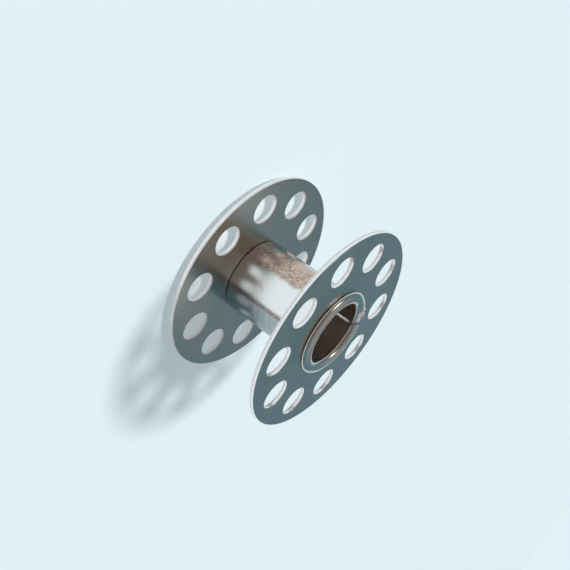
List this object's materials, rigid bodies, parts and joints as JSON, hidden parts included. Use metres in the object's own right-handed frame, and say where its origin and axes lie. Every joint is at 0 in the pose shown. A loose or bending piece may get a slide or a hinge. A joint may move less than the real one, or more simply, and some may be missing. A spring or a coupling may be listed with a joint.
{
  "type": "sewing machine bobbin",
  "caption": "Metal sewing machine bobbin: a seamed core tube with curled ends that clamp two flat round flanges, each pierced with a ring of holes.",
  "frame": {"origin": "centre of the flat land on the lower lip, on the bobbin's axis, where it stands on its end", "axes": "+Z along the bobbin's axis, up towards the end with the torn lip; the tube's seam faces -Y"},
  "size_m": [0.0203, 0.0202, 0.0112],
  "materials": {
    "satin_nickel": "grained satin nickel plate on steel strip",
    "bright_nickel": "smooth bright nickel plate on steel sheet"
  },
  "bodies": {
    "root": {"core_tube": "satin_nickel", "upper_flange": "bright_nickel", "lower_flange": "bright_nickel"}
  },
  "joints": []
}
